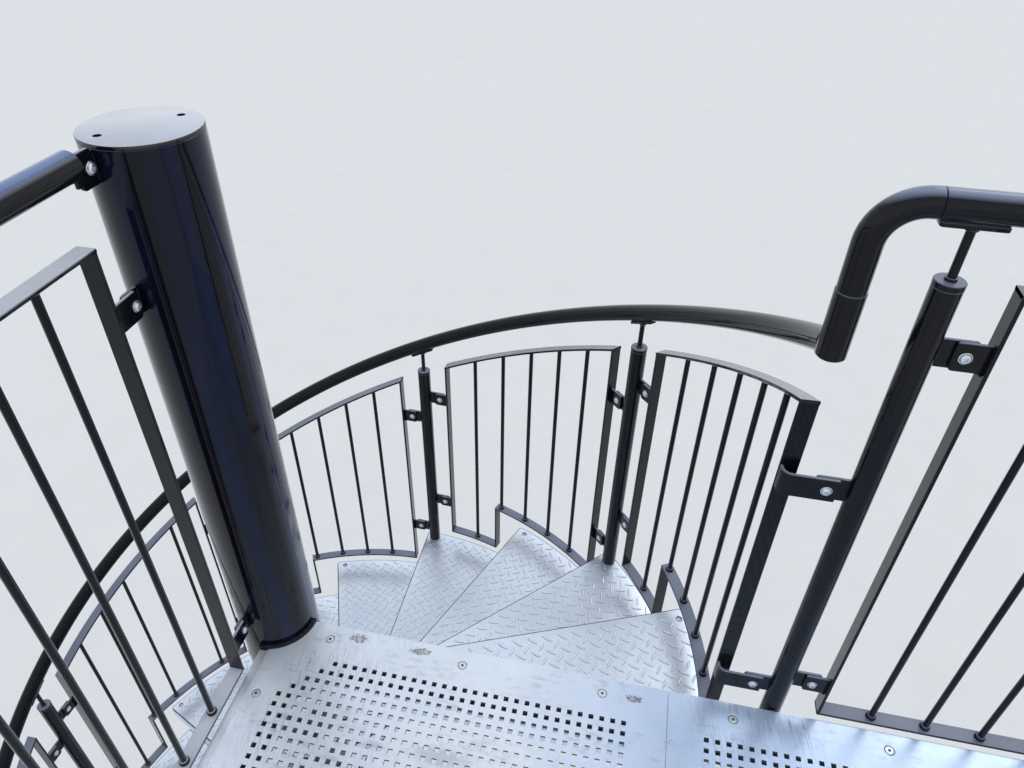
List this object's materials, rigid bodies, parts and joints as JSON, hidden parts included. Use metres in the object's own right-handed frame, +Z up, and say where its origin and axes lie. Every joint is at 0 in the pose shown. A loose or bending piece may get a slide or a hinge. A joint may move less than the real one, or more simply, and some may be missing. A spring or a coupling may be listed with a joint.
{
  "type": "spiral staircase",
  "caption": "Spiral staircase with galvanised checker-plate treads on a black tubular newel, a rectangular landing, bolted rod balustrade panels and a tubular handrail.",
  "frame": {"origin": "on the newel's axis at the underside of its base flange, which is ground level", "axes": "+X along the landing's front edge from the newel, +Y away from the wall the landing meets, +Z up"},
  "size_m": [2.7983, 2.0799, 3.978],
  "materials": {
    "gloss_black_paint": "gloss",
    "galvanised_steel": "galvanised"
  },
  "bodies": {
    "root": {"handrail_drop": "gloss_black_paint", "handrail_elbow": "gloss_black_paint", "handrail_lower": "gloss_black_paint", "handrail_upper": "gloss_black_paint", "landing_beam_front": "galvanised_steel", "landing_beam_joint": "galvanised_steel", "landing_beam_left": "galvanised_steel", "landing_beam_right": "galvanised_steel", "landing_beam_wall": "galvanised_steel", "landing_cuff": "gloss_black_paint", "landing_deck_left": "galvanised_steel", "landing_deck_right": "galvanised_steel", "landing_handrail_front": "gloss_black_paint", "landing_handrail_left": "gloss_black_paint", "landing_handrail_right": "gloss_black_paint", "landing_panel_front": "gloss_black_paint", "landing_panel_left": "gloss_black_paint", "landing_panel_right": "gloss_black_paint", "newel_base_flange": "gloss_black_paint", "newel_cap": "gloss_black_paint", "newel_column": "gloss_black_paint", "post_foot": "gloss_black_paint", "post_landing_corner": "gloss_black_paint", "post_landing_stair": "gloss_black_paint", "post_tread_02": "gloss_black_paint", "post_tread_04": "gloss_black_paint", "post_tread_06": "gloss_black_paint", "post_tread_08": "gloss_black_paint", "post_tread_10": "gloss_black_paint", "post_tread_12": "gloss_black_paint", "post_wall_left": "gloss_black_paint", "post_wall_right": "gloss_black_paint", "stair_panel_1": "gloss_black_paint", "stair_panel_2": "gloss_black_paint", "stair_panel_3": "gloss_black_paint", "stair_panel_4": "gloss_black_paint", "stair_panel_5": "gloss_black_paint", "stair_panel_6": "gloss_black_paint", "stair_panel_7": "gloss_black_paint", "tread_01": "galvanised_steel", "tread_02": "galvanised_steel", "tread_03": "galvanised_steel", "tread_04": "galvanised_steel", "tread_05": "galvanised_steel", "tread_06": "galvanised_steel", "tread_07": "galvanised_steel", "tread_08": "galvanised_steel", "tread_09": "galvanised_steel", "tread_10": "galvanised_steel", "tread_11": "galvanised_steel", "tread_12": "galvanised_steel", "tread_13": "galvanised_steel"}
  },
  "joints": []
}
